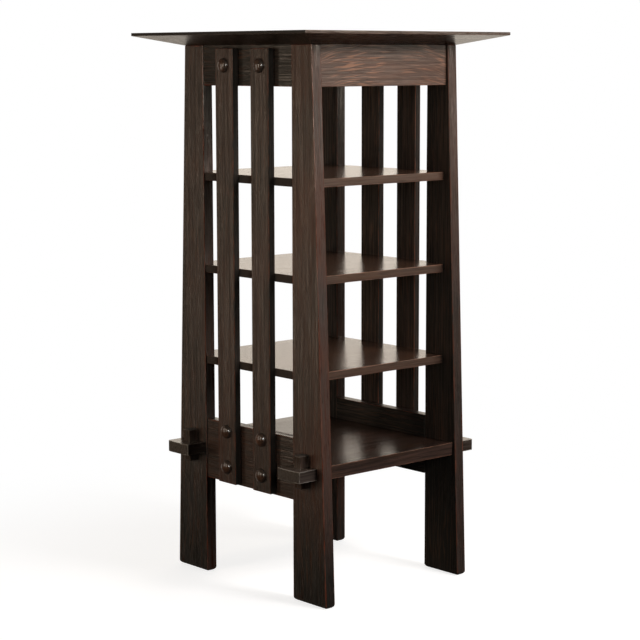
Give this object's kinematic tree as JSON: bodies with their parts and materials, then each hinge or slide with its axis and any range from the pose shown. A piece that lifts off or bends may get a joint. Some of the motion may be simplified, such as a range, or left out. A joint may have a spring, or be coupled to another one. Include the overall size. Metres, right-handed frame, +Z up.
{
  "type": "book stand",
  "caption": "Square oak book stand: thin shelves between flared plank legs, slatted sides, a wide bevelled top and a lower shelf held by keyed through tenons.",
  "frame": {"origin": "on the floor, at the middle of the four feet", "axes": "+Z up, -Y the open front, -X and +X the slatted sides"},
  "size_m": [0.5, 0.492, 1.016],
  "materials": {
    "oak_top": "dark fumed oak, waxed satin",
    "oak_frame": "dark fumed oak, waxed satin",
    "oak_apron": "dark fumed quarter-sawn oak, waxed satin",
    "oak_shelf": "dark fumed oak, rubbed to a gloss",
    "oak_plug": "turned oak, polished",
    "oak_key": "dark fumed oak, worn satin",
    "cleat_wood": "plain sawn wood, unfinished",
    "screw_steel": "plain steel"
  },
  "bodies": {
    "stand": {"top_board": "oak_top", "leg_front_left": "oak_frame", "leg_front_right": "oak_frame", "leg_back_left": "oak_frame", "leg_back_right": "oak_frame", "apron_front": "oak_apron", "apron_back": "oak_apron", "apron_left": "oak_frame", "apron_right": "oak_frame", "rail_left": "oak_frame", "rail_right": "oak_frame", "slat_left_front": "oak_frame", "slat_left_back": "oak_frame", "slat_right_front": "oak_frame", "slat_right_back": "oak_frame", "plugs_left": "oak_plug", "plugs_right": "oak_plug", "slat_screws_left": "screw_steel", "slat_screws_right": "screw_steel", "shelf_upper": "oak_shelf", "shelf_middle": "oak_shelf", "shelf_lower": "oak_shelf", "keyed_shelf": "oak_shelf", "cleat_front": "cleat_wood", "cleat_back": "cleat_wood", "cleat_screws": "screw_steel", "top_screws": "screw_steel"},
    "key_front_left": {"key_front_left": "oak_key"},
    "key_front_right": {"key_front_right": "oak_key"},
    "key_back_left": {"key_back_left": "oak_key"},
    "key_back_right": {"key_back_right": "oak_key"}
  },
  "joints": [
    {"name": "key_front_left_pull", "type": "slide", "parent": "stand", "child": "key_front_left", "axis": [0, 0, 1], "range_m": [0, 0.045]},
    {"name": "key_front_right_pull", "type": "slide", "parent": "stand", "child": "key_front_right", "axis": [0, 0, 1], "range_m": [0, 0.045]},
    {"name": "key_back_left_pull", "type": "slide", "parent": "stand", "child": "key_back_left", "axis": [0, 0, 1], "range_m": [0, 0.045]},
    {"name": "key_back_right_pull", "type": "slide", "parent": "stand", "child": "key_back_right", "axis": [0, 0, 1], "range_m": [0, 0.045]}
  ]
}
